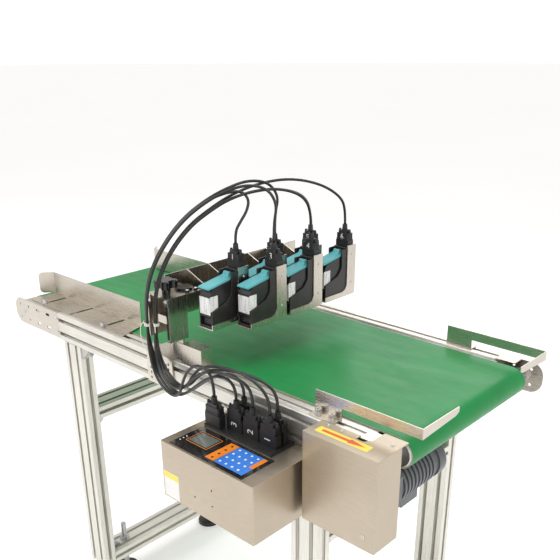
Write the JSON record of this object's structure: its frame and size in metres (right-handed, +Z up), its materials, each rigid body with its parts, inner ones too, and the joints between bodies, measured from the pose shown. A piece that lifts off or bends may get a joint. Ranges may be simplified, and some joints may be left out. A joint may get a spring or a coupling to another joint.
{
  "type": "date code inkjet printer",
  "caption": "Tray date coder: cartridge inkjet heads on a height-adjustable bridge over a belt conveyor, with a hanging controller, on an aluminium profile stand.",
  "frame": {"origin": "centre of the overall footprint, on the floor under the levelling feet", "axes": "+X along the belt's travel from infeed to outfeed, +Y from the controller side to the far side, +Z up"},
  "size_m": [1.077, 0.569, 0.9956],
  "materials": {
    "anodised_bar": "satin",
    "stainless": "satin",
    "screw_steel": "satin",
    "foot_black": "matt",
    "bearing_steel": "satin",
    "bed_steel": "satin",
    "roller_steel": "satin",
    "belt_green": "gloss",
    "motor_grey": "satin",
    "pulley": "satin",
    "timing_rubber": "matt",
    "cover_beige": "satin",
    "knob_black": "gloss",
    "holder_black": "satin",
    "plug_black": "matt",
    "cartridge": "satin",
    "case_beige": "satin",
    "panel_black": "gloss",
    "board_green": "satin",
    "cable_black": "gloss",
    "tie_white": "satin"
  },
  "bodies": {
    "frame": {"near_rail": "anodised_bar", "far_rail": "anodised_bar", "stand_legs": "anodised_bar", "stand_crossbars": "anodised_bar", "levelling_feet": "foot_black", "corner_brackets": "anodised_bar", "hanger_screws": "screw_steel", "infeed_near_end_plate": "stainless", "infeed_far_end_plate": "stainless", "outfeed_near_end_plate": "stainless", "outfeed_far_end_plate": "stainless", "roller_bearings": "bearing_steel", "slider_bed": "bed_steel", "conveyor_belt": "belt_green", "gearmotor": "motor_grey", "motor_bracket": "stainless", "timing_belt": "timing_rubber", "drive_cover": "cover_beige", "infeed_thumb_screws": "screw_steel", "post_bracket": "stainless", "sensor_box": "stainless", "tray_sensor": "holder_black", "controller_case": "case_beige", "controller_panel": "panel_black", "controller_socket_strip": "plug_black", "controller_plugs": "plug_black", "controller_hanger": "stainless", "controller_board": "board_green", "head_cable_1": "cable_black", "head_cable_2": "cable_black", "head_cable_3": "cable_black", "head_cable_4": "cable_black", "head_cable_5": "cable_black", "head_cable_6": "cable_black", "cable_ties": "tie_white"},
    "tail_roller": {"tail_roller": "roller_steel"},
    "drive_roller": {"drive_roller": "roller_steel", "drive_pulley": "pulley"},
    "motor_pulley": {"motor_pulley": "pulley"},
    "near_infeed_guide": {"near_infeed_guide": "stainless"},
    "far_infeed_guide": {"far_infeed_guide": "stainless"},
    "near_outfeed_stop": {"near_outfeed_stop": "stainless", "near_stop_thumb_screws": "screw_steel"},
    "far_outfeed_stop": {"far_outfeed_stop": "stainless", "far_stop_thumb_screws": "screw_steel"},
    "bridge": {"print_post": "stainless", "bridge_beam": "stainless", "pivot_disc": "knob_black", "head_arms": "stainless", "head_holders": "holder_black", "head_side_plates": "stainless", "head_plugs": "plug_black"},
    "lift_screw": {"lift_screw": "knob_black"},
    "cartridge_1": {"ink_cartridge_1": "cartridge"},
    "cartridge_2": {"ink_cartridge_2": "cartridge"},
    "cartridge_3": {"ink_cartridge_3": "cartridge"},
    "cartridge_4": {"ink_cartridge_4": "cartridge"},
    "cartridge_5": {"ink_cartridge_5": "cartridge"},
    "cartridge_6": {"ink_cartridge_6": "cartridge"}
  },
  "joints": [
    {"name": "drive_roller_spin", "type": "hinge", "parent": "frame", "child": "drive_roller", "pos_m": [0.4895, 0.0685, 0.663], "axis": [0, 1, 0], "continuous": true},
    {"name": "tail_roller_spin", "type": "hinge", "parent": "frame", "child": "tail_roller", "pos_m": [-0.4985, 0.0685, 0.663], "axis": [0, 1, 0], "continuous": true},
    {"name": "motor_pulley_spin", "type": "hinge", "parent": "frame", "child": "motor_pulley", "pos_m": [0.4505, -0.1685, 0.582], "axis": [0, 1, 0], "continuous": true},
    {"name": "near_infeed_guide_slide", "type": "slide", "parent": "frame", "child": "near_infeed_guide", "axis": [0, 1, 0], "range_m": [-0.045, 0]},
    {"name": "far_infeed_guide_slide", "type": "slide", "parent": "frame", "child": "far_infeed_guide", "axis": [0, -1, 0], "range_m": [-0.045, 0]},
    {"name": "near_outfeed_stop_slide", "type": "slide", "parent": "frame", "child": "near_outfeed_stop", "axis": [1, 0, 0], "range_m": [-0.15, 0.03]},
    {"name": "far_outfeed_stop_slide", "type": "slide", "parent": "frame", "child": "far_outfeed_stop", "axis": [1, 0, 0], "range_m": [-0.15, 0.03]},
    {"name": "bridge_lift", "type": "slide", "parent": "frame", "child": "bridge", "axis": [0, 0, 1], "range_m": [-0.02, 0.04], "deforming": ["head_cable_1", "head_cable_2", "head_cable_3", "head_cable_4", "head_cable_5", "head_cable_6"]},
    {"name": "lift_screw_turn", "type": "hinge", "parent": "bridge", "child": "lift_screw", "pos_m": [-0.0115, -0.1225, 0.8], "axis": [0, 0, 1], "range_deg": [-3600.1, 7200.1]},
    {"name": "cartridge_1_lift", "type": "slide", "parent": "bridge", "child": "cartridge_1", "axis": [0, 0, 1], "range_m": [0, 0.06]},
    {"name": "cartridge_2_lift", "type": "slide", "parent": "bridge", "child": "cartridge_2", "axis": [0, 0, 1], "range_m": [0, 0.06]},
    {"name": "cartridge_3_lift", "type": "slide", "parent": "bridge", "child": "cartridge_3", "axis": [0, 0, 1], "range_m": [0, 0.06]},
    {"name": "cartridge_4_lift", "type": "slide", "parent": "bridge", "child": "cartridge_4", "axis": [0, 0, 1], "range_m": [0, 0.06]},
    {"name": "cartridge_5_lift", "type": "slide", "parent": "bridge", "child": "cartridge_5", "axis": [0, 0, 1], "range_m": [0, 0.06]},
    {"name": "cartridge_6_lift", "type": "slide", "parent": "bridge", "child": "cartridge_6", "axis": [0, 0, 1], "range_m": [0, 0.06]}
  ],
  "couplings": [
    {"joint": "tail_roller_spin", "follows": "drive_roller_spin", "ratio": 1},
    {"joint": "motor_pulley_spin", "follows": "drive_roller_spin", "ratio": 1},
    {"joint": "lift_screw_turn", "follows": "bridge_lift", "rad_per_m": 3141.6}
  ]
}
